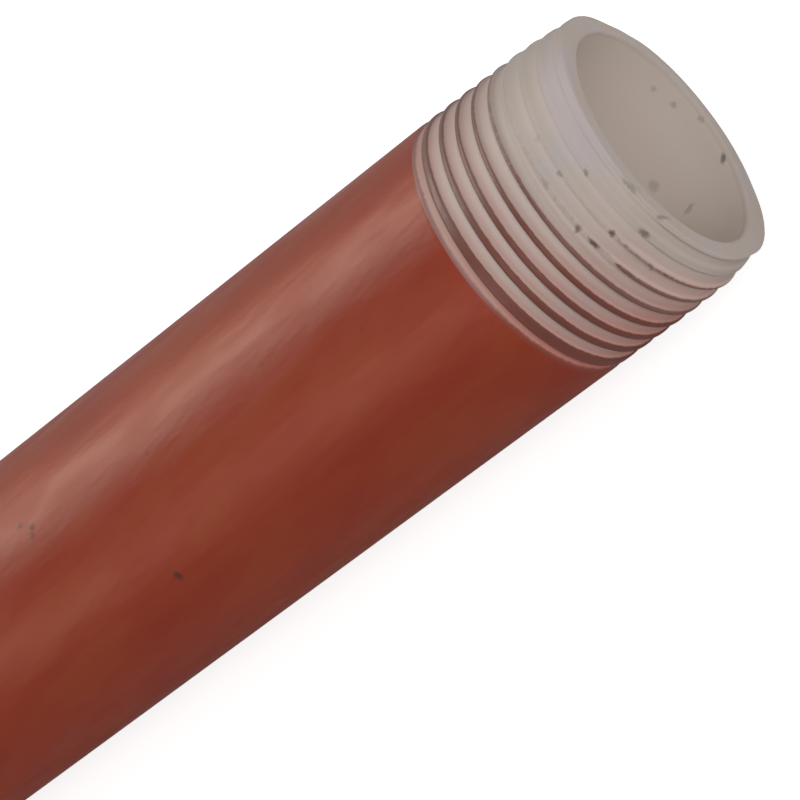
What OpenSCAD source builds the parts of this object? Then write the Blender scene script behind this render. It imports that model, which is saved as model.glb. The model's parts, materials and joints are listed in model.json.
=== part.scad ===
// Plastic pipe with a taper thread cut on one end.
// It lies along X, with the threaded end towards +X, the floor at z = 0 and x = 0 at mid-length.
// The pipe is extruded in one piece, with a coloured skin over a pale wall. The thread is cut
// through the skin. Each turn of the thread is drawn here as a ring of the thread's own section.

/* [Pipe] */
// Outside diameter of the pipe
outer_d = 33.4; // [26:0.1:60]
// Thickness of the wall
wall = 3.4; // [2.6:0.1:6]
// Length from one end face to the other
length = 1000; // [100:10:3000]

/* [Thread] */
// Distance from one turn to the next
pitch = 2.309; // [1.4:0.001:2.8]
// Angle between the two flanks of a groove
flank_angle = 55; // [50:1:60]
// The crests rise by one unit of diameter in this many units of length
taper_ratio = 16; // [12:1:30]
// How far the first crest stands in from the surface of the pipe
crest_drop = 0.4; // [0.1:0.05:0.6]
// Turns cut to their full depth
full_turns = 7; // [3:1:9]
// Turns that fade out towards the plain pipe
fading_turns = 2; // [1:1:4]

/* [Ends] */
// Chamfer round the outside of the threaded end
lead_chamfer = 1; // [0.4:0.1:1.4]
// Chamfer at each mouth of the bore
bore_chamfer = 0.4; // [0.1:0.1:0.6]
// Edge broken round the outside of the plain end
plain_chamfer = 0.5; // [0.1:0.1:1]

/* [Hidden] */
$fn = 96;

SKIN = "#8E4230";
CORE = "#B3A99C";

outer_r = outer_d / 2;
bore_r = outer_r - wall;
half_length = length / 2;

// A cutter reaches this far past the surface that it cuts
past = 1;

// The thread's section: a sixth of the sharp V is left off at the crest and at the root
sharp_height = pitch / (2 * tan(flank_angle / 2));
groove_depth = sharp_height * 2 / 3;
root_flat = pitch / 6;
turns = full_turns + fading_turns;

// Rise of the taper on the radius for each unit of length
slope = 1 / (2 * taper_ratio);

// Radius of the crests at a distance back from the threaded end face, where no skin stops them
function taper_r(back) = outer_r - crest_drop + back * slope;

// Distance back from the end face to the middle of groove k, counted from 0
function groove_back(k) = (k + 0.5) * pitch;

// The part of its full depth that groove k has: all of it, then less on each fading turn
function fade(k) = k < full_turns ? 1 : 1 - (k - full_turns + 1) / (fading_turns + 1);

// Radius at the bottom of groove k
function root_r(k) = outer_r - fade(k) * (outer_r + groove_depth - taper_r(groove_back(k)));

// Turn a section drawn as [radius, distance along the pipe] about the pipe's centre line
module turned() {
  translate([0, 0, outer_r]) rotate([0, 90, 0]) rotate_extrude() children();
}

// The extruded wall, from one sawn end to the other
module extruded_wall() {
  turned() translate([bore_r, -half_length]) square([wall, length]);
}

// What the taper takes off ahead of the thread's crests
module taper_cut() {
  taper_length = crest_drop / slope;
  turned() polygon([
    [taper_r(-past), half_length + past],
    [outer_r, half_length - taper_length],
    [outer_r + past, half_length - taper_length],
    [outer_r + past, half_length + past],
  ]);
}

// One groove of the thread: a V with a flat root, open past the surface of the pipe
module groove_cut(k) {
  depth = outer_r + past - root_r(k);
  half_top = root_flat / 2 + depth * tan(flank_angle / 2);
  turned() translate([root_r(k), half_length - groove_back(k)]) polygon([
    [0, -root_flat / 2],
    [depth, -half_top],
    [depth, half_top],
    [0, root_flat / 2],
  ]);
}

// A 45 degree chamfer off an edge at radius r: side is 1 outside the wall and -1 in the bore,
// and end is 1 at the threaded end and -1 at the plain end
module chamfer_cut(r, size, side, end) {
  reach = size + past;
  turned() translate([r - side * size, end * half_length]) polygon([
    [side * -past, end * past],
    [side * reach, end * -reach],
    [side * reach, end * past],
  ]);
}

module pipe() {
  difference() {
    color(SKIN) extruded_wall();
    color(CORE) taper_cut();
    color(CORE) for (k = [0 : turns - 1]) groove_cut(k);
    color(CORE) chamfer_cut(taper_r(0), lead_chamfer, 1, 1);
    color(CORE) chamfer_cut(bore_r, bore_chamfer, -1, 1);
    color(CORE) chamfer_cut(bore_r, bore_chamfer, -1, -1);
    color(SKIN) chamfer_cut(outer_r, plain_chamfer, 1, -1);
  }
}

pipe();
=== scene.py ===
# %% [markdown]
# # A threaded plastic pipe
# The object is one straight piece of plastic pipe, a metre long. A thin brick-red skin was
# extruded over a pale wall, and a taper pipe thread was cut on one end, so the pale wall shows in
# the thread, on the end faces and in the bore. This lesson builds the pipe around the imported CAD
# part, gives it its finish, and sets up a floor, soft light and a camera.

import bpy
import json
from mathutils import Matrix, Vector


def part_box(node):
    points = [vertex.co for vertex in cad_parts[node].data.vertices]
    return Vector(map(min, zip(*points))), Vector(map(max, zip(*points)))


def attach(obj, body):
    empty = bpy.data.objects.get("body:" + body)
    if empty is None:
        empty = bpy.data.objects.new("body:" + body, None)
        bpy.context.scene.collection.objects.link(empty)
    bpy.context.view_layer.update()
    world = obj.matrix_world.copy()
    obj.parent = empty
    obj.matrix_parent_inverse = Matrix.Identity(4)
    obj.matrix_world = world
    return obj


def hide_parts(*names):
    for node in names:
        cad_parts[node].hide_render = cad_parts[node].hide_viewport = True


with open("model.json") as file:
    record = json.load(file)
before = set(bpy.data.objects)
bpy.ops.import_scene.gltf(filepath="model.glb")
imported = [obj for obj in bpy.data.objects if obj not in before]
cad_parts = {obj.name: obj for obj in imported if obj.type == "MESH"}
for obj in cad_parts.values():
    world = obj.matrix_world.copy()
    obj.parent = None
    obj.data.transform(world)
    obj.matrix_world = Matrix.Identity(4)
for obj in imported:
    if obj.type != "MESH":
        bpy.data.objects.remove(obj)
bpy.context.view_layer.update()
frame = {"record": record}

# %% Other modules
import json

import bpy
import numpy as np
from mathutils import Matrix, Vector

print("Blender", bpy.app.version_string)

# %% [markdown]
# ## Sizes
# The box of the CAD part gives the length and the outside of the pipe, and the bore is in the
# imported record. Lengths are kept in millimetres until the mesh is made. The facets of the CAD part
# cut across the curve at its sides, so its box is a hair narrower than it is high. The pipe keeps
# inside that box, and so it is a hair oval, which extruded pipe is too.

# %% Sizes of the pipe
MM = 0.001
low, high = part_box("pipe")
mounts = {mount["name"]: mount for mount in frame["record"]["mounts"]}
length = (high.x - low.x) / MM
outer_r = (high.z - low.z) / 2 / MM
bore_r = mounts["bore"]["dims"]["r_mm"]
oval = (high.y - low.y) / (high.z - low.z)
print(f"length {length:.1f}, outside radius {outer_r:.3f}, bore radius {bore_r}, oval {oval:.4f}")

# %% [markdown]
# ## The thread's section
# A pipe thread is a V groove wound round a slightly tapered end, with crests and roots rounded by
# the same small circle. It could be a screw modifier on a drawn section, but a cut thread isn't
# the same all the way: the taper, the pipe's own surface, the lead at the mouth and the run-out
# towards the plain pipe each stop it somewhere. So the outside is one formula for the radius, in
# two numbers: how far back from the mouth a place is, and its angle about the pipe, from straight
# up towards +Y.

# %% Sizes of the thread
pitch = 2.309
half_flank = np.radians(55 / 2)
taper = 1 / 32
crest_drop = 0.4
sharp_height = pitch / (2 * np.tan(half_flank))
round_r = 0.1373 * pitch
first_crest = 0.54
print(f"sharp height {sharp_height:.3f}, rounding {round_r:.3f}")


# %% Rounded V and soft corners
def v_height(across):
    """Height of a rounded V over its sharp corner, at a distance across from its middle.
    It is across over the tangent of the half angle, and near the middle a circle of radius
    round_r that touches both sides."""
    centre = round_r / np.sin(half_flank)
    circle = centre - np.sqrt(np.maximum(round_r**2 - across**2, 0))
    return np.where(across < round_r * np.cos(half_flank), circle, across / np.tan(half_flank))


def soft_min(a, b, soft):
    """The smaller of a and b, with the corner between them rounded where they differ by less
    than soft: what is left of soft, squared, over four times soft is taken off."""
    left = np.maximum(soft - np.abs(a - b), 0)
    return np.minimum(a, b) - left**2 / (4 * soft)


def soft_max(a, b, soft):
    """The larger of a and b, with the corner between them filled in the same way."""
    return -soft_min(-a, -b, soft)


def ease(value, start, end):
    """0 at start, 1 at end, and a smooth S between them: three times the square of the share,
    less twice its cube."""
    share = np.clip((value - start) / (end - start), 0, 1)
    return share * share * (3 - 2 * share)


def turned_from(angle, degrees):
    """How far an angle is from a direction given in degrees, the short way round, in degrees."""
    return np.abs(np.mod(np.degrees(angle) - degrees + 180, 360) - 180)


print(f"the V is {float(v_height(pitch / 2)):.3f} mm high at half a pitch across")


# %% [markdown]
# ## The lead at the mouth
# Before the thread was cut, the end was turned down to a short cone so that the die would start.
# It was done by hand, so the cone is steeper on one side than on the other.

# %% Radius of the lead
rim_r = 15.64
rim_swing = 0.1
high_side = np.radians(45)
lead_slope = 0.18
slope_swing = 0.08
steep_side = np.radians(-150)


def lead(back, angle):
    """Radius of the lead: the rim's radius and a slope times the distance back. Both swing a
    little round the pipe, by the cosine from the side where they are largest."""
    rim = rim_r + rim_swing * np.cos(angle - high_side)
    slope = lead_slope + slope_swing * np.cos(angle - steep_side)
    return rim + slope * back


print(f"lead radius on top {lead(0, 0):.2f} at the rim and {lead(5, 0):.2f} mm at 5 mm back")


# %% [markdown]
# ## How deep the thread was cut
# The die sat a little off centre and askew. On one side it went in to the full depth of the
# thread. On the other it only got through the skin, and left low ridges between broad flat
# grooves. A floor holds the grooves that shallow. It follows the land, which is what stands
# between the grooves: the crests, the pipe's own surface or the lead, whichever is lowest. On the
# first turns of the shallow side the skin has been torn off, and the ridges there are faint.

# %% Depth of the cut
skin = 0.24
tight_side = np.radians(45)
off_centre = 0.07
off_growth = 0.005
full_cut = 120
faint_cut = 0.09
shallow_cut = 0.34
full_depth = 1.48
torn_back = 8.3
torn_side = -5


def crest_level(back, angle):
    """Radius of the rounded crests: the taper's crest less the die's offset times the cosine
    from the side it was tight on."""
    offset = off_centre + off_growth * back
    return outer_r - crest_drop + taper * back - offset * np.cos(angle - tight_side)


def groove_floor(back, angle, from_root):
    """Radius that the grooves are cut down to: the land less a depth. The depth eases from
    shallow_cut, or two thirds of it beside the mouth, to full_depth around the fully cut side,
    and to faint_cut on the torn turns. A groove is a quarter deeper in its middle than at its
    sides, by a parabola in from_root."""
    land = soft_min(crest_level(back, angle), outer_r, 0.1)
    land = soft_min(land, lead(back, angle), 0.2)
    faint = 1 - ease(turned_from(angle, torn_side), 58, 74)
    faint = faint * ease(-back, -torn_back - 0.3, 0.5 - torn_back)
    torn_land = soft_min(land, outer_r - skin - 0.04, 0.1)
    land = land + faint * (torn_land - land)
    fully = 1 - ease(turned_from(angle, full_cut), 50, 71)
    shallow = shallow_cut * (0.65 + 0.35 * ease(back, 2.5, 6))
    depth = shallow + (faint_cut - shallow) * faint
    hollow = 1 + 0.25 * (1 - (2 * from_root / pitch) ** 2)
    return land - (depth + (full_depth - depth) * fully) * hollow


def turns(back, angle):
    """Turns of the thread up to a place: a whole number in the middle of each crest. It is the
    distance back from the first crest over the pitch, less the angle over a full turn."""
    return (back - first_crest) / pitch - angle / (2 * np.pi)


# %% [markdown]
# Past the last full turn the die's teeth open out, so the last groove is narrow and shallow, and
# it fades where the die stopped. The stop isn't square to the pipe, because the die was askew.

# %% The cut itself
last_crest = 8
run_out_slope = 0.45
run_out_back = 20.64
run_out_swing = 0.42
low_side = -115


def run_out(back, angle):
    """Radius of the cone that ends the thread: it rises at run_out_slope and reaches the pipe's
    surface at a distance back that swings by run_out_swing either way round the pipe."""
    stop = run_out_back + run_out_swing * np.cos(angle - np.radians(20))
    return outer_r + run_out_slope * (back - stop)


def cut_thread(back, angle):
    """Radius of the thread's own surface: below the sharp crest by the height of the rounded V,
    or above the sharp root by it, whichever corner is nearer, and never below the groove floor
    or the run-out. Just past the last crest the V lifts by 0.45 mm, and by up to 0.35 mm more on
    the low side. Past the last root it drops away, so that only the run-out is left there."""
    turn = turns(back, angle)
    from_crest = pitch * np.abs(turn - np.round(turn))
    from_root = pitch / 2 - from_crest
    sharp = crest_level(back, angle) + sharp_height / 6
    by_crest = sharp - v_height(from_crest)
    by_root = sharp - sharp_height + v_height(from_root)
    form = np.where(from_crest < from_root, by_crest, by_root)
    lift = 0.45 + 0.35 * np.maximum(np.cos(angle - np.radians(low_side)), 0)
    form = form + lift * ease(turn, last_crest + 0.05, last_crest + 0.3)
    form = form - 3 * ease(turn, last_crest + 0.5, last_crest + 0.7)
    form = soft_max(form, groove_floor(back, angle, from_root), 0.42)
    return soft_max(form, run_out(back, angle), 0.12)


one_turn = np.linspace(10, 10 + pitch, 5)
print("radius over one pitch, full side", np.round(cut_thread(one_turn, np.radians(full_cut)), 2))
print("radius over one pitch, shallow side", np.round(cut_thread(one_turn, np.radians(-60)), 2))


# %% [markdown]
# ## The skin on the crests
# The skin is about a quarter of a millimetre thick. Where a crest reaches into it, a line of skin
# is left along the crest. On the first turns too little is left to hold: the lines end ragged,
# and the rest has come away with the cuttings.

# %% What is left of the skin
line_ends = {2: -66, 3: -73}


def skin_held(back, angle):
    """1 where the crests keep their skin and 0 where it is torn off. Nearer than torn_back to
    the mouth, a crest keeps it on the far side only, up to about -75 degrees, or up to the
    angle in line_ends. Two sines make the end ragged, and it tapers, because the angle falls by
    30 degrees for each turn from the crest's middle."""
    turned = np.mod(angle + np.pi, 2 * np.pi) - np.pi
    ragged = 1.2 * np.sin(23 * turned + 5 * back) + 0.8 * np.sin(61 * turned - 9 * back)
    turn = turns(back, turned)
    crest = np.round(turn)
    degrees = np.degrees(turned) + ragged + 30 * np.abs(turn - crest)
    past = ease(degrees, -76, -73) - ease(degrees, 150, 158)
    for number, end in line_ends.items():
        past = np.where(crest == number, ease(degrees, end, end + 2), past)
    return 1 - past * ease(-back, -torn_back, 0.3 - torn_back)


around = np.radians(np.arange(-180, 180))
print(f"skin kept on {np.mean(skin_held(5, around)):.0%} of the way round at 5 mm back")


# %% [markdown]
# ## The rim and the whole outside
# A lump was left standing on the rim at one place, a piece broke out of it at another, and its
# edge is a little rounded all the way.

# %% Radius of the whole outside
edge_round = 0.14
lump_r = 16.1
lump_side = -157
lump_fall = 0.00093
dent_side = 77
dent_depth = 0.45


def lump(back, angle):
    """Radius of the lump on the rim: from its top it falls with the square of the degrees round
    the pipe and with the square of the distance back."""
    return lump_r - lump_fall * turned_from(angle, lump_side) ** 2 - 0.5 * back**2


def outside(back, angle):
    """Radius of the outside: the smallest of the pipe's own surface, the thread and the lead,
    and no more than the skin's inner side where the skin is torn off. The lump stands on it, the
    broken place is a bell-shaped dent, and the edge falls by a square within edge_round."""
    radius = soft_min(cut_thread(back, angle), outer_r, 0.12)
    torn = soft_min(radius, outer_r - skin - 0.04, 0.1)
    radius = torn + skin_held(back, angle) * (radius - torn)
    radius = soft_min(radius, lead(back, angle), 0.12)
    radius = soft_max(radius, lump(back, angle), 0.15)
    dent = dent_depth * np.exp(-((turned_from(angle, dent_side) / 11) ** 2) - (back / 1.2) ** 2)
    return radius - dent - edge_round * np.maximum(1 - back / edge_round, 0) ** 2


print(f"rim radius {outside(0, around).min():.2f} to {outside(0, around).max():.2f} mm")


# %% [markdown]
# ## The outside as a spiral grid
# Rows that ran straight round the pipe would cut the thread's edges at a slant and show steps. So
# each row climbs by one pitch in a turn, like the thread, and an edge lies along a row. Rows that
# would run past the mouth or past the thread are cut off level there. A place on the grid is a
# whole number of small steps back, which tells exactly which corners of the grid are the same
# point.

# %% Grid numbers
columns = 320
rows = 22
step = pitch / rows / columns
first = rows * columns
thread_zone = 23.2
last = first + round(thread_zone / step)
zone = (last - first) * step
angles = -np.pi + 2 * np.pi * np.arange(columns + 1) / columns


def spiral_grid():
    """Column and step of each corner of a grid whose rows climb one pitch in a turn: step number
    = row times columns + column times rows, held between first and last. A corner nearer than a
    third of a row to either end is moved onto it."""
    row, column = np.mgrid[0 : last // columns + 2, 0 : columns + 1]
    steps = np.clip(row * columns + column * rows, first, last)
    near = columns // 3
    steps = np.where(steps - first < near, first, steps)
    steps = np.where(last - steps < near, last, steps)
    return column, steps


def split(ids):
    """Two triangles for each cell of a grid of point numbers, and the grid places of their
    corners. Cells with no width are left out."""
    place = np.arange(ids.size).reshape(ids.shape)
    a, b = place[:-1, :-1], place[:-1, 1:]
    d, c = place[1:, :-1], place[1:, 1:]
    corners = np.concatenate([np.stack([a, b, c], -1), np.stack([a, c, d], -1)]).reshape(-1, 3)
    number = ids.ravel()[corners]
    real = (number[:, 0] != number[:, 1]) & (number[:, 1] != number[:, 2])
    real &= number[:, 0] != number[:, 2]
    return number[real], corners[real]


print(f"{last - first} steps over {zone:.2f} mm, rows {pitch / rows:.3f} mm apart")


# %% Points of the outside
grid_column, grid_steps = spiral_grid()
keys, spiral_ids = np.unique(grid_steps * columns + grid_column % columns, return_inverse=True)
spiral_ids = spiral_ids.reshape(grid_steps.shape)
spiral_back = (keys // columns - first) * step
spiral_angle = angles[keys % columns]
spiral_r = outside(spiral_back, spiral_angle)
print(f"thread grid {grid_steps.shape}, {len(keys)} points over {zone:.2f} mm")
print(f"radius from {spiral_r.min():.2f} to {spiral_r.max():.2f}")

# %% [markdown]
# ## The rest of the pipe as rings
# From the rim of the mouth the surface goes on over the end face, round the edge of the bore,
# through the bore, over the plain end and back along the outside to the thread. That is one
# profile carried round the pipe, so it is a plain grid of rings, and it starts and ends on rings
# that the spiral grid already has. Rings stand close together beside each edge, so that the
# shading stays flat on the flats.

# %% Profile of the rings
bore_round = 0.5
plain_round = 0.5


def quarter(radius, count):
    """Sine and one less cosine over a quarter turn, times the radius: the two legs of a rounded
    edge."""
    a = np.linspace(0, np.pi / 2, count)
    return radius * np.sin(a), radius * (1 - np.cos(a))


def ring_profile():
    """Distance back, radius, and share of the way out to the rim of the mouth, for each ring from
    the mouth's face, through the bore and over the plain end, to the end of the thread."""
    along, inward = quarter(bore_round, 7)
    share = np.array([0.98, 0.93, 0.8, 0.5, 0.2, 0.05])
    wall = bore_round + np.array([0.1, 0.5, 2, 5, 9, 14, 22, 40, 80, 200, 400])
    wall = np.concatenate([wall, length - wall[::-1]])
    inner_edge = bore_r + bore_round
    far = np.array([0.05, 0.2, 0.5, 0.8, 0.95])
    far_r = inner_edge + far * (outer_r - plain_round - inner_edge)
    out, back_in = quarter(plain_round, 6)
    body = np.array([1, 3, 8, 20, 50, 100, 160, 230, 300, 400, 500, 600, 700, 800, 860, 910, 945])
    body = np.append(length - body, zone + np.array([6, 2, 0.5]))
    parts = [
        (0 * share, inner_edge + 0 * share, share),
        (inward, inner_edge - along, 0 * along),
        (wall, bore_r + 0 * wall, 0 * wall),
        (length - inward[::-1], inner_edge - along[::-1], 0 * along),
        (length + 0 * far, far_r, 0 * far),
        (length - back_in, outer_r - plain_round + out, 0 * out),
        (body, outer_r + 0 * body, 0 * body),
    ]
    return [np.concatenate(column) for column in zip(*parts)]


print("rings in the profile", len(ring_profile()[0]))


# %% Points of the rings
ring_back, ring_r, ring_share = ring_profile()
rim_ids = np.searchsorted(keys, first * columns + np.arange(columns))
end_ids = np.searchsorted(keys, last * columns + np.arange(columns))
mouth_r = spiral_r[rim_ids]
rings_r = ring_r[:, None] + ring_share[:, None] * (mouth_r - ring_r[0])
rings_back = np.broadcast_to(ring_back[:, None], rings_r.shape)
rings_angle = np.broadcast_to(angles[:-1], rings_r.shape)
ring_ids = len(keys) + np.arange(rings_r.size).reshape(rings_r.shape)
ring_ids = np.concatenate([rim_ids[None], ring_ids, end_ids[None]])
ring_ids = np.concatenate([ring_ids, ring_ids[:, :1]], 1)
print(f"{len(ring_back)} rings, rim of the mouth {mouth_r.min():.2f} to {mouth_r.max():.2f}")

# %% [markdown]
# ## A flat map of the surface
# When the finish is baked to a picture, the picture is square, and the pipe is thirty times
# longer than it is wide. A map worked out by Blender would give the thread only a few dots. This
# one gives the first 23 mm half of the picture's height. The other half goes to the rings, and
# there each step from ring to ring counts by its square root, so the long ones are squeezed.

# %% Map coordinates
map_half = 0.49
ring_lengths = np.hypot(np.diff(ring_back, prepend=0), np.diff(ring_r, prepend=rim_r))
heights = np.cumsum(np.sqrt(ring_lengths + 0.01))
heights = np.concatenate([[0], heights, [heights[-1] + 1]])
heights = 0.504 + map_half * heights / heights[-1]
ring_map = np.stack(np.broadcast_arrays(np.arange(columns + 1) / columns, heights[:, None]), -1)
spiral_heights = 0.5 - map_half * (grid_steps - first) / (last - first)
spiral_map = np.stack([grid_column / columns, spiral_heights], -1)
print(f"rings on the map from {heights[0]:.3f} to {heights[-1]:.3f}")

# %% [markdown]
# ## The mesh
# The points of both grids go into one mesh. The surface has to be closed and face outwards, which
# is measured here: each edge has two faces, and the volume inside is positive.

# %% Put the pipe together
point_back = np.concatenate([spiral_back, rings_back.ravel()])
point_angle = np.concatenate([spiral_angle, rings_angle.ravel()])
point_r = np.concatenate([spiral_r, rings_r.ravel()])
points = MM * np.stack(
    [
        high.x / MM - point_back,
        oval * point_r * np.sin(point_angle),
        outer_r + point_r * np.cos(point_angle),
    ],
    -1,
)
spiral_faces, spiral_corners = split(spiral_ids)
ring_faces, ring_corners = split(ring_ids)
triangles = np.concatenate([spiral_faces, ring_faces[:, ::-1]])
corner_map = np.concatenate(
    [spiral_map.reshape(-1, 2)[spiral_corners], ring_map.reshape(-1, 2)[ring_corners[:, ::-1]]]
)
a, b, c = (points[triangles[:, k]] for k in range(3))
volume = np.einsum("ij,ij->i", a, np.cross(b, c)).sum() / 6
if volume < 0:
    triangles = triangles[:, ::-1]
    corner_map = corner_map[:, ::-1]
edges = np.sort(np.concatenate([triangles[:, [0, 1]], triangles[:, [1, 2]], triangles[:, [2, 0]]]))
uses = np.unique(edges, axis=0, return_counts=True)[1]
print(f"{len(points)} points, {len(triangles)} triangles, volume {abs(volume) * 1e6:.1f} cm3")
print("edges with two faces:", (uses == 2).sum(), "of", len(uses))


# %% Make the Blender object
def mesh_piece(name, places, faces, flat_map):
    """A smooth Blender mesh object at the origin, from arrays of points, triangles and the map
    places of the triangles' corners."""
    mesh = bpy.data.meshes.new(name)
    mesh.vertices.add(len(places))
    mesh.vertices.foreach_set("co", places.astype(np.float32).ravel())
    mesh.loops.add(faces.size)
    mesh.loops.foreach_set("vertex_index", faces.astype(np.int32).ravel())
    mesh.polygons.add(len(faces))
    mesh.polygons.foreach_set("loop_start", np.arange(0, faces.size, 3, dtype=np.int32))
    mesh.update(calc_edges=True)
    mesh.validate()
    layer = mesh.uv_layers.new(name="OFBake")
    layer.uv.foreach_set("vector", flat_map.astype(np.float32).ravel())
    mesh.shade_smooth()
    piece = bpy.data.objects.new(name, mesh)
    bpy.context.collection.objects.link(piece)
    return piece


pipe = mesh_piece("threaded_pipe", points, triangles, corner_map)
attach(pipe, "root")
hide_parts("pipe")
print("faces kept", len(pipe.data.polygons))

# %% [markdown]
# ## Nodes for the finish
# The pipe has one material, because skin and wall are one extrusion. Which of them shows depends
# on how far a place lies below the uncut surface. The material works that out from the place
# itself: distance back, angle and radius, in millimetres, from Object coordinates.


# %% Helpers for nodes
def new_material(name):
    """A material with an empty node tree, and that tree."""
    material = bpy.data.materials.new(name)
    material.use_nodes = True
    tree = material.node_tree
    tree.nodes.clear()
    return material, tree


def add(tree, kind, inputs=(), **settings):
    """A node of that kind with its settings, and its inputs set or linked by name or number."""
    node = tree.nodes.new("ShaderNode" + kind)
    for key, value in settings.items():
        setattr(node, key, value)
    for key, value in dict(inputs).items():
        if isinstance(value, bpy.types.NodeSocket):
            tree.links.new(value, node.inputs[key])
        else:
            node.inputs[key].default_value = value
    return node


finish, tree = new_material("skin_over_wall")


def math(operation, *values):
    """The result of a Math node on one, two or three numbers or sockets."""
    return add(tree, "Math", dict(enumerate(values)), operation=operation).outputs[0]


def between(value, start, end, low_value=0.0, high_value=1.0):
    """A value turned into low_value at start and high_value at end, with a smooth S between."""
    node = add(tree, "MapRange", {"Value": value, "From Min": start, "From Max": end,
               "To Min": low_value, "To Max": high_value}, interpolation_type="SMOOTHSTEP")
    return node.outputs[0]


def mixed(share, first_colour, second_colour):
    """The first colour where share is 0 and the second where it is 1."""
    node = add(tree, "Mix", {"Factor": share}, data_type="RGBA")
    for number, colour in ((6, first_colour), (7, second_colour)):
        if isinstance(colour, bpy.types.NodeSocket):
            tree.links.new(colour, node.inputs[number])
        else:
            node.inputs[number].default_value = (*colour, 1)
    return node.outputs[2]


def noise(place, scale, detail=2.0):
    """Smooth noise from 0 to 1 with that many waves in one unit of place."""
    return add(tree, "TexNoise", {"Vector": place, "Scale": scale, "Detail": detail}).outputs["Fac"]


print("materials so far", len(bpy.data.materials))


# %% Place on the pipe, in millimetres
object_place = add(tree, "TexCoord").outputs["Object"]
apart = add(tree, "SeparateXYZ", {0: object_place})
back = math("MULTIPLY_ADD", apart.outputs["X"], -1 / MM, high.x / MM)
sideways = math("MULTIPLY", apart.outputs["Y"], 1 / MM / oval)
upwards = math("MULTIPLY_ADD", apart.outputs["Z"], 1 / MM, -outer_r)
radius = math("SQRT", math("ADD", math("MULTIPLY", sideways, sideways),
                           math("MULTIPLY", upwards, upwards)))
angle = math("ARCTAN2", sideways, upwards)
depth = math("SUBTRACT", outer_r, radius)
turn = math("SUBTRACT", math("DIVIDE", math("SUBTRACT", back, first_crest), pitch),
            math("DIVIDE", angle, 2 * np.pi))
across = math("FRACT", turn)
place = add(tree, "VectorMath", {0: object_place, 1: (1 / MM, 1 / MM, 1 / MM)},
            operation="MULTIPLY").outputs[0]
print("nodes for the place", len(tree.nodes))

# %% [markdown]
# ## Colours of the wall
# The wall is a pale warm grey, with broad soft patches that are a little cooler or warmer. Where it
# was cut close under the skin, the die smeared some of the skin's red over it: more on the low side
# of the thread, and most past the last groove. On the low side of the first turns a lighter pink is
# painted there, partly smear and partly painted light that lifts the shade in the shallow grooves,
# and the turned lead has none. Painted light and shade also stand in for the relief: a painted
# highlight just past each crest on the side towards the front, painted shade just before the next
# crest on the side turned up, and a faint lilac painted sheen beside the mouth. The bore is
# smoother, and it is painted lighter than the wall, standing in for the light that reaches into it:
# lightest deep inside along its floor, and a shade less beside the mouth there.


# %% Wall colour
def facing(degrees):
    """1 on the side of the pipe at that angle, and less with the cosine, down to 0 a quarter
    turn away from it."""
    return math("MAXIMUM", math("COSINE", math("SUBTRACT", angle, np.radians(degrees))), 0.0)


pale = (0.47, 0.40, 0.358)
cool = (0.455, 0.402, 0.385)
warm = (0.465, 0.392, 0.343)
smeared_red = (0.545, 0.195, 0.15)
# The next colour is a painted highlight, laid just past each crest on the side towards the front.
painted_highlight_past_crest = (0.62, 0.505, 0.462)
# The next colour is painted shade, laid on each flank just before the next crest.
painted_flank_shade = (0.30, 0.235, 0.205)
# The next colour is partly a pink smear and partly painted light, lifting the shade in the shallow
# first turns on the low side.
pink_and_painted_light = (0.60, 0.40, 0.345)
# The next colour is a lilac painted sheen, beside the mouth on the side turned up.
painted_lilac_sheen = (0.485, 0.415, 0.41)
# The three bore colours are painted light: lighter than the wall, standing in for the light that
# reaches into the bore. The brightest is for its lower side deep inside, and the third is a shade
# less, beside the mouth.
bore_painted_light = (0.685, 0.59, 0.528)
bore_painted_brightest = (0.755, 0.66, 0.59)
bore_painted_light_at_mouth = (0.70, 0.61, 0.545)

patches = noise(place, 0.16, 1.0)
wall = mixed(between(patches, 0.5, 0.7), pale, cool)
wall = mixed(between(patches, 0.5, 0.38), wall, warm)
in_bore = math("MULTIPLY", between(radius, bore_r + 0.35, bore_r + 0.05), between(back, 0.15, 0.8))
# Painted light in the bore: lighter than the wall, lightest on its lower side deep inside, and a
# shade less beside the mouth.
bore_lit_side = facing(160)
bore_lit_side_colour = mixed(between(back, 0.8, 5.0), bore_painted_light_at_mouth, bore_painted_brightest)
wall = mixed(in_bore, wall, mixed(bore_lit_side, bore_painted_light, bore_lit_side_colour))

low_share = facing(low_side)
low_squared = math("MULTIPLY", low_share, low_share)
smear = math("MULTIPLY_ADD", low_squared, 0.27, 0.35)
smear = math("MULTIPLY", smear, between(math("MULTIPLY_ADD", low_share, 4.0, back), 7.5, 14.5))
last_smear = math("MULTIPLY_ADD", low_squared, 0.35, 0.12)
smear = math("ADD", smear, math("MULTIPLY", last_smear, between(back, 18.0, 19.6)))
streaks = add(tree, "CombineXYZ", {0: math("MULTIPLY", turn, 9.0), 1: math("MULTIPLY", angle, 3.0),
              2: radius}).outputs[0]
uneven = noise(streaks, 1.0, 3.0)
smear = math("MULTIPLY", smear, between(uneven, 0.3, 0.7, 0.82, 1.15))
outer_wall = math("MULTIPLY", between(radius, 15.0, 15.6), between(back, 24.0, 22.0))
wall = mixed(math("MULTIPLY", smear, outer_wall), wall, smeared_red)

top_side = facing(-15)
# Painted highlight just past each crest, on the side towards the front, stronger on the deeper
# turns.
highlight_side = facing(-32)
beyond_crest = math("MULTIPLY", between(across, 0.05, 0.2), between(across, 0.75, 0.25))
past_crest_highlight_share = math("MULTIPLY", math("MULTIPLY", beyond_crest, highlight_side),
                   between(back, 5.5, 9.5, 0.4, 0.85))
past_crest_highlight_share = math("MULTIPLY", past_crest_highlight_share, between(back, 19.0, 18.4))
wall = mixed(math("MULTIPLY", past_crest_highlight_share, outer_wall), wall, painted_highlight_past_crest)
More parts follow.
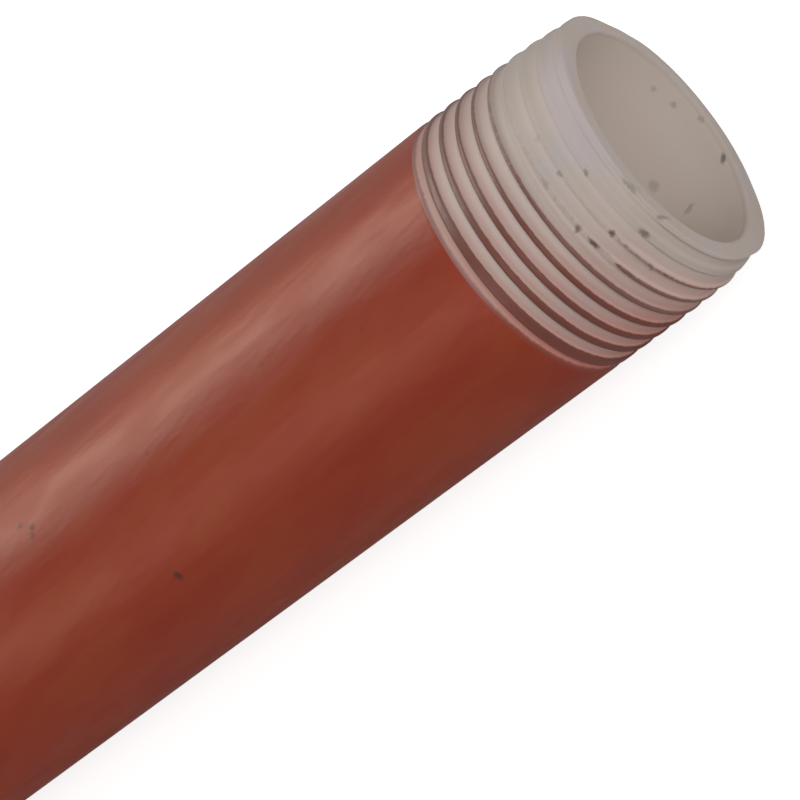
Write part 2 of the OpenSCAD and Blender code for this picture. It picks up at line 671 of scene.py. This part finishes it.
# Pink smear and painted light on the low side of the first turns, lifting the shade in their
# grooves.
pink_light_share = math("MULTIPLY", low_squared, between(back, 2.0, 4.5, 0.0, 0.75))
pink_light_share = math("MULTIPLY", pink_light_share, between(back, 8.5, 7.0))
wall = mixed(math("MULTIPLY", pink_light_share, outer_wall), wall, pink_and_painted_light)
# Lilac painted sheen beside the mouth, where the side faces most nearly up.
lilac_sheen_share = math("MULTIPLY", between(back, 3.8, 2.6), between(top_side, 0.82, 0.985))
wall = mixed(math("MULTIPLY", lilac_sheen_share, outer_wall), wall, painted_lilac_sheen)
# Painted shade on each flank just before the next crest, on the side turned up.
flank_shade_share = math("MULTIPLY", math("MULTIPLY", between(across, 0.6, 1.0), top_side), 0.6)
flank_shade_share = math("MULTIPLY", flank_shade_share, between(back, 7.5, 9.5))
wall = mixed(math("MULTIPLY", flank_shade_share, outer_wall), wall, painted_flank_shade)
print("nodes with the wall's colour", len(tree.nodes))

# %% [markdown]
# ## Colours of the skin
# The skin is brick red. On the crests of the thread it is painted darker and browner, a painted
# shade for the roots beside them, and paler and greyer where a painted sheen is laid over that on
# the side that lies highest; the first crests that kept their skin get the same paler colour. Down
# the far side of the last groove it is scraped to a dull red, painted lighter to a pale mauve on the
# side turned up. On the plain pipe it varies in long soft patches, some more orange and some deeper,
# as extruded plastic does.
# The patches wind a little round the pipe.

# %% Skin colour
brick = (0.268, 0.026, 0.0035)
brick_orange = (0.276, 0.033, 0.0045)
brick_deep = (0.255, 0.022, 0.003)
# The next colour is painted shade: crests darker and browner, standing in for the shade of the roots
# beside them.
crest_painted_shade = (0.16, 0.046, 0.031)
# The next colour is a painted sheen over that shade: paler and greyer, for the side that lies
# highest.
crest_painted_sheen = (0.20, 0.100, 0.083)
scraped = (0.22, 0.052, 0.035)
# The next colour is painted light: the scraped colour made a lighter mauve for the side turned up.
scraped_painted_light = (0.28, 0.14, 0.13)
arc = math("MULTIPLY", angle, radius)
wound_arc = math("MULTIPLY_ADD", back, 0.1, arc)
wound = add(tree, "CombineXYZ", {0: math("MULTIPLY", back, 0.3), 1: wound_arc, 2: radius}).outputs[0]
blotches = noise(wound, 0.2, 2.0)
skin_colour = mixed(between(blotches, 0.48, 0.62), brick, brick_orange)
skin_colour = mixed(between(blotches, 0.46, 0.34), skin_colour, brick_deep)
# Over the thread, the crests' skin takes the painted shade and painted sheen colours.
painted_crest_share = math("MAXIMUM", between(back, 21.0, 19.6),
                 math("MULTIPLY", between(depth, 0.03, 0.09), between(back, 23.0, 22.0)))
# Scraped skin past the last groove, with painted light making it a lighter mauve on the side turned
# up.
scraped_with_painted_light = mixed(between(top_side, 0.6, 0.95), scraped, scraped_painted_light)
# Painted sheen on the crests on the side that lies highest, and the same paler colour on the first
# crests that kept their skin.
sheen_side = facing(15)
crest_sheen_share = between(math("MULTIPLY", sheen_side, sheen_side), 0.3, 0.74)
first_crests = math("MULTIPLY", between(back, 11.0, 8.6), between(back, 4.2, 6.2, 0.0, 0.85))
crest_sheen_share = math("MAXIMUM", crest_sheen_share, first_crests)
scraped_from = math("MULTIPLY_ADD", low_share, -1.8, 19.4)
painted_crest_skin = mixed(between(back, scraped_from, 20.4),
                    mixed(crest_sheen_share, crest_painted_shade, crest_painted_sheen), scraped_with_painted_light)
skin_colour = mixed(painted_crest_share, skin_colour, painted_crest_skin)
print("nodes with the skin's colour", len(tree.nodes))

# %% [markdown]
# The wall shows where the die has cut through the skin, which is about a quarter of a millimetre
# thick. Where only a shaving of skin is left, the wall begins to show through it. So the edge
# between them is a soft one, and a thin crest is paler than a thick one.

# %% Skin or wall
fine = noise(place, 1.6, 3.0)
edge_depth = math("MULTIPLY_ADD", fine, 0.14, math("SUBTRACT", depth, 0.07))
is_wall = between(edge_depth, skin - 0.11, skin + 0.07)
colour = mixed(is_wall, skin_colour, wall)
print(f"the wall begins to show {skin - 0.11:.2f} mm below the uncut surface")

# %% [markdown]
# ## Specks
# Small dark marks lie on the pale surface: bits of skin pressed in beside the torn crests, and
# grit in the bore. The skin of the plain pipe has a few pits. Each mark is an oval at a given
# distance back, angle in degrees and radius, with half its length along the turn, half its width,
# a slant in degrees, and a strength. Noise bends them all, so that none is a clean oval.

# %% Marks
marks = (
    (7.1, -60.6, 16.4, 0.85, 0.30, 0, 0.95),
    (7.3, -53.0, 16.4, 0.35, 0.55, 15, 0.75),
    (4.85, -62.4, 16.2, 0.45, 0.38, 0, 0.9),
    (5.05, -83.0, 16.4, 0.40, 0.17, 60, 0.6),
    (2.45, -70.5, 15.9, 0.80, 0.40, 0, 0.7),
    (0.2, -52.5, 15.6, 1.1, 0.26, 0, 0.4),
    (0.1, -69.3, 15.6, 0.45, 0.34, 0, 0.45),
    (2.93, -38.9, 15.9, 0.38, 0.32, 0, 0.5),
    (5.35, -33.5, 16.2, 0.45, 0.32, 20, 0.4),
    (7.2, -33.2, 16.3, 0.38, 0.38, 0, 0.25),
    (5.6, -17.0, 16.2, 0.5, 0.4, 0, 0.15),
    (0.9, 161.0, 13.3, 0.65, 0.32, 30, 0.7),
    (9.6, 151.3, 13.3, 0.7, 0.7, 0, 0.25),
    (7.1, 172.1, 13.3, 0.8, 0.4, 75, 0.3),
    (2.18, 126.1, 13.3, 0.4, 0.4, 0, 0.3),
    (0.7, 139.5, 13.3, 0.45, 0.35, 0, 0.3),
    (2.6, 114.1, 13.3, 0.4, 0.4, 0, 0.25),
)
pits = (
    (70.8, -66.0, 0.75, 0.5, 0.75),
    (84.1, -11.8, 0.45, 0.4, 0.6),
    (82.6, -15.5, 0.5, 0.45, 0.6),
    (83.0, -18.6, 0.5, 0.4, 0.5),
    (64.6, -20.7, 0.4, 0.4, 0.2),
    (46.7, -20.9, 0.4, 0.4, 0.25),
    (37.5, -8.7, 0.4, 0.4, 0.25),
    (32.5, -25.2, 0.4, 0.4, 0.2),
    (33.9, -34.5, 0.4, 0.4, 0.2),
)
marks += tuple((pit[0], pit[1], outer_r, pit[2], pit[3], 0, pit[4]) for pit in pits)
speck_colour = (0.10, 0.062, 0.048)
pit_colour = (0.05, 0.016, 0.009)
arc_place = add(tree, "CombineXYZ", {0: arc, 1: back, 2: radius}).outputs[0]
wobble = add(tree, "TexNoise", {"Vector": place, "Scale": 1.8, "Detail": 3.0}).outputs["Color"]
wobble = add(tree, "VectorMath", {0: wobble, 1: (0.5, 0.5, 0.5)}, operation="SUBTRACT").outputs[0]
marked = add(tree, "VectorMath", {0: wobble, 1: (0.7, 0.6, 0.0), 2: arc_place},
             operation="MULTIPLY_ADD").outputs[0]
specks = 0.0
for mark_back, mark_angle, mark_r, half_long, half_wide, slant, strength in marks:
    centre = (np.radians(mark_angle) * mark_r, mark_back, mark_r)
    oval_place = add(tree, "Mapping", {"Vector": marked, "Location": centre,
                     "Rotation": (0, 0, np.radians(slant)), "Scale": (half_long, half_wide, 1.2)},
                     vector_type="TEXTURE").outputs[0]
    far_off = add(tree, "VectorMath", {0: oval_place}, operation="LENGTH").outputs["Value"]
    specks = math("MAXIMUM", specks, between(far_off, 1.35, 0.35, 0.0, strength))
colour = mixed(specks, colour, mixed(between(back, 22.0, 24.0), speck_colour, pit_colour))
print(len(marks), "marks,", len(tree.nodes), "nodes")

# %% [markdown]
# ## Fine relief
# Shapes this small are best left to bump. The skin has shallow waves that wind along the pipe and
# ruffle the edge of its highlight, a fainter grain, and patches a little duller than the rest. The
# cut wall has fine turning marks that follow the thread, and the bore is nearly smooth.

# %% Bump
waves = noise(wound, 0.22, 3.0)
grain = noise(place, 1.1, 2.0)
skin_height = math("MULTIPLY_ADD", waves, 0.23, math("MULTIPLY", grain, 0.015))
turned_marks = math("MULTIPLY", uneven, math("MULTIPLY", outer_wall, 0.03))
wall_height = math("MULTIPLY_ADD", grain, 0.015, turned_marks)
height = add(tree, "Mix", {"Factor": is_wall, 2: skin_height, 3: wall_height}).outputs[0]
height = math("MULTIPLY_ADD", specks, 0.05, height)
bump = add(tree, "Bump", {"Height": height, "Distance": MM, "Strength": 1.0}).outputs[0]
print("nodes with the relief", len(tree.nodes))

# %% Shader
wall_dull = 0.62
skin_dull = between(noise(wound, 0.35, 3.0), 0.35, 0.65, 0.39, 0.49)
dull = add(tree, "Mix", {"Factor": is_wall, 2: skin_dull, 3: wall_dull}).outputs[0]
shader = add(tree, "BsdfPrincipled", {"Base Color": colour, "Roughness": dull, "IOR": 1.5,
             "Specular IOR Level": 0.3, "Normal": bump})
add(tree, "OutputMaterial", {"Surface": shader.outputs[0]})
pipe.data.materials.append(finish)
print("finish has", len(tree.nodes), "nodes")

# %% [markdown]
# ## Floor and backdrop
# The pipe lies on a wide plain floor. The floor looks white to the camera because it glows a
# little there, through Light Path. It gives the pipe no more light than a plain grey card would,
# and it still takes the pipe's shadow.


# %% White to the eye
def eye_share(tree, through_gloss):
    """1 for rays from the camera and through glass, and through_gloss for reflections."""
    rays = add(tree, "LightPath")
    seen = add(tree, "Math", {0: rays.outputs["Is Camera Ray"],
               1: rays.outputs["Is Transmission Ray"]}, operation="ADD")
    return add(tree, "Math", {0: rays.outputs["Is Glossy Ray"], 1: through_gloss,
               2: seen.outputs[0]}, operation="MULTIPLY_ADD").outputs[0]


# %% Floor
side = 20.0
floor_mesh = bpy.data.meshes.new("floor")
floor_corners = [(-side, -side, 0), (side, -side, 0), (side, side, 0), (-side, side, 0)]
floor_mesh.from_pydata(floor_corners, [], [(0, 1, 2, 3)])
floor = bpy.data.objects.new("floor", floor_mesh)
bpy.context.collection.objects.link(floor)

floor_grey = 0.68
floor_glow = 0.78
card, card_tree = new_material("pale_floor")
shown = add(card_tree, "Math", {0: eye_share(card_tree, 0.0), 1: floor_glow}, operation="MULTIPLY")
matt = add(card_tree, "BsdfDiffuse", {"Color": (floor_grey, floor_grey, floor_grey, 1)})
glow = add(card_tree, "Emission", {"Strength": shown.outputs[0]})
both = add(card_tree, "AddShader", {0: matt.outputs[0], 1: glow.outputs[0]})
add(card_tree, "OutputMaterial", {"Surface": both.outputs[0]})
floor.data.materials.append(card)
card.cycles.emission_sampling = "NONE"
print("floor", 2 * side, "m wide, grey", floor_grey, "and glow", floor_glow)

# %% World
ambient_level = 0.5
world = bpy.data.worlds.new("studio")
bpy.context.scene.world = world
world.use_nodes = True
world.node_tree.nodes.clear()
ambient = add(world.node_tree, "Background", {"Strength": ambient_level})
white = add(world.node_tree, "Background", {"Strength": 1.0})
sky = add(world.node_tree, "MixShader", {0: eye_share(world.node_tree, 0.1),
          1: ambient.outputs[0], 2: white.outputs[0]})
add(world.node_tree, "OutputWorld", {"Surface": sky.outputs[0]})
print("light from all round", ambient_level, "of a white card's")

# %% [markdown]
# ## Lamps
# Long soft panels run along the pipe, so that it is lit evenly from end to end. The key hangs over
# it and reaches past both ends, and a weaker panel stands low behind it. Two are seen only in
# reflections: one gives the skin its broad sheen, and one a fainter shine lower down. The last
# faces the mouth from in front. Three of them are a little warm, so that what the skin reflects
# isn't bluish.


# %% Soft panels
def panel(name, middle, target, size, brightness):
    """A soft panel centred on middle that faces the target point. brightness 1 would be as
    bright as a white card in full light."""
    lamp = bpy.data.lights.new(name, "AREA")
    lamp.shape = "RECTANGLE"
    lamp.size, lamp.size_y = size
    lamp.energy = brightness * np.pi * lamp.size * lamp.size_y
    lamp_object = bpy.data.objects.new(name, lamp)
    bpy.context.collection.objects.link(lamp_object)
    away = (Vector(middle) - Vector(target)).normalized()
    along = (Vector((1, 0, 0)) - away * away.x).normalized()
    axes = Matrix((along, away.cross(along), away)).transposed().to_4x4()
    lamp_object.matrix_world = Matrix.Translation(middle) @ axes
    return lamp_object


def beside(x, degrees, distance):
    """A point beside the pipe at that x, at that angle from straight up towards +Y."""
    tilt = np.radians(degrees)
    return (x, distance * np.sin(tilt), distance * np.cos(tilt))


panel("key", beside(-0.4, 11, 1.2), (-0.4, 0, 0), (2.0, 0.45), 2.22)
sheen = panel("sheen", beside(-0.3, 30, 1.2), (-0.3, 0, 0), (2.2, 0.34), 9.2)
sheen.visible_diffuse = False
sheen.data.color = (1.0, 0.98, 0.82)
back_panel = panel("back", beside(-0.3, 75, 1.3), (-0.3, 0, 0), (2.2, 0.5), 0.5)
back_panel.data.color = (1.0, 0.92, 0.72)
shine = panel("shine", beside(-0.3, -56, 1.2), (-0.3, 0, 0), (2.2, 0.5), 2.4)
shine.visible_diffuse = False
shine.data.color = (1.0, 0.96, 0.8)
panel("mouth", (1.27, -0.54, 0.40), (0.5, 0, 0), (0.7, 0.7), 3.1)
for lamp in bpy.data.lights:
    print(f"panel {lamp.name}: {lamp.size:.2f} by {lamp.size_y:.2f} m, {lamp.energy:.2f} W")

# %% [markdown]
# ## Camera
# The camera looks down on the threaded end from in front and beyond the mouth, with a long lens,
# and is rolled so that the pipe rises to the right.

# %% Camera
aim = Vector((high.x - 0.0438, -0.0039, 0.0128))
azimuth, elevation, roll = np.radians((36.108, 39.7306, 61.9765))
camera_distance = 0.443116
look = -Vector((np.sin(azimuth) * np.cos(elevation), -np.cos(azimuth) * np.cos(elevation),
                np.sin(elevation)))
level_right = look.cross(Vector((0, 0, 1))).normalized()
level_up = level_right.cross(look)
right = np.cos(roll) * level_right - np.sin(roll) * level_up
up = np.sin(roll) * level_right + np.cos(roll) * level_up
camera = bpy.data.cameras.new("camera")
camera.lens = 180.7
camera.sensor_width = 36
camera.clip_start = 0.01
camera_object = bpy.data.objects.new("camera", camera)
bpy.context.collection.objects.link(camera_object)
camera_axes = Matrix((right, up, -look)).transposed().to_4x4()
camera_object.matrix_world = Matrix.Translation(aim - camera_distance * look) @ camera_axes
bpy.context.scene.camera = camera_object
bpy.context.scene.view_settings.view_transform = "Standard"
print("camera at", tuple(camera_object.matrix_world.translation))
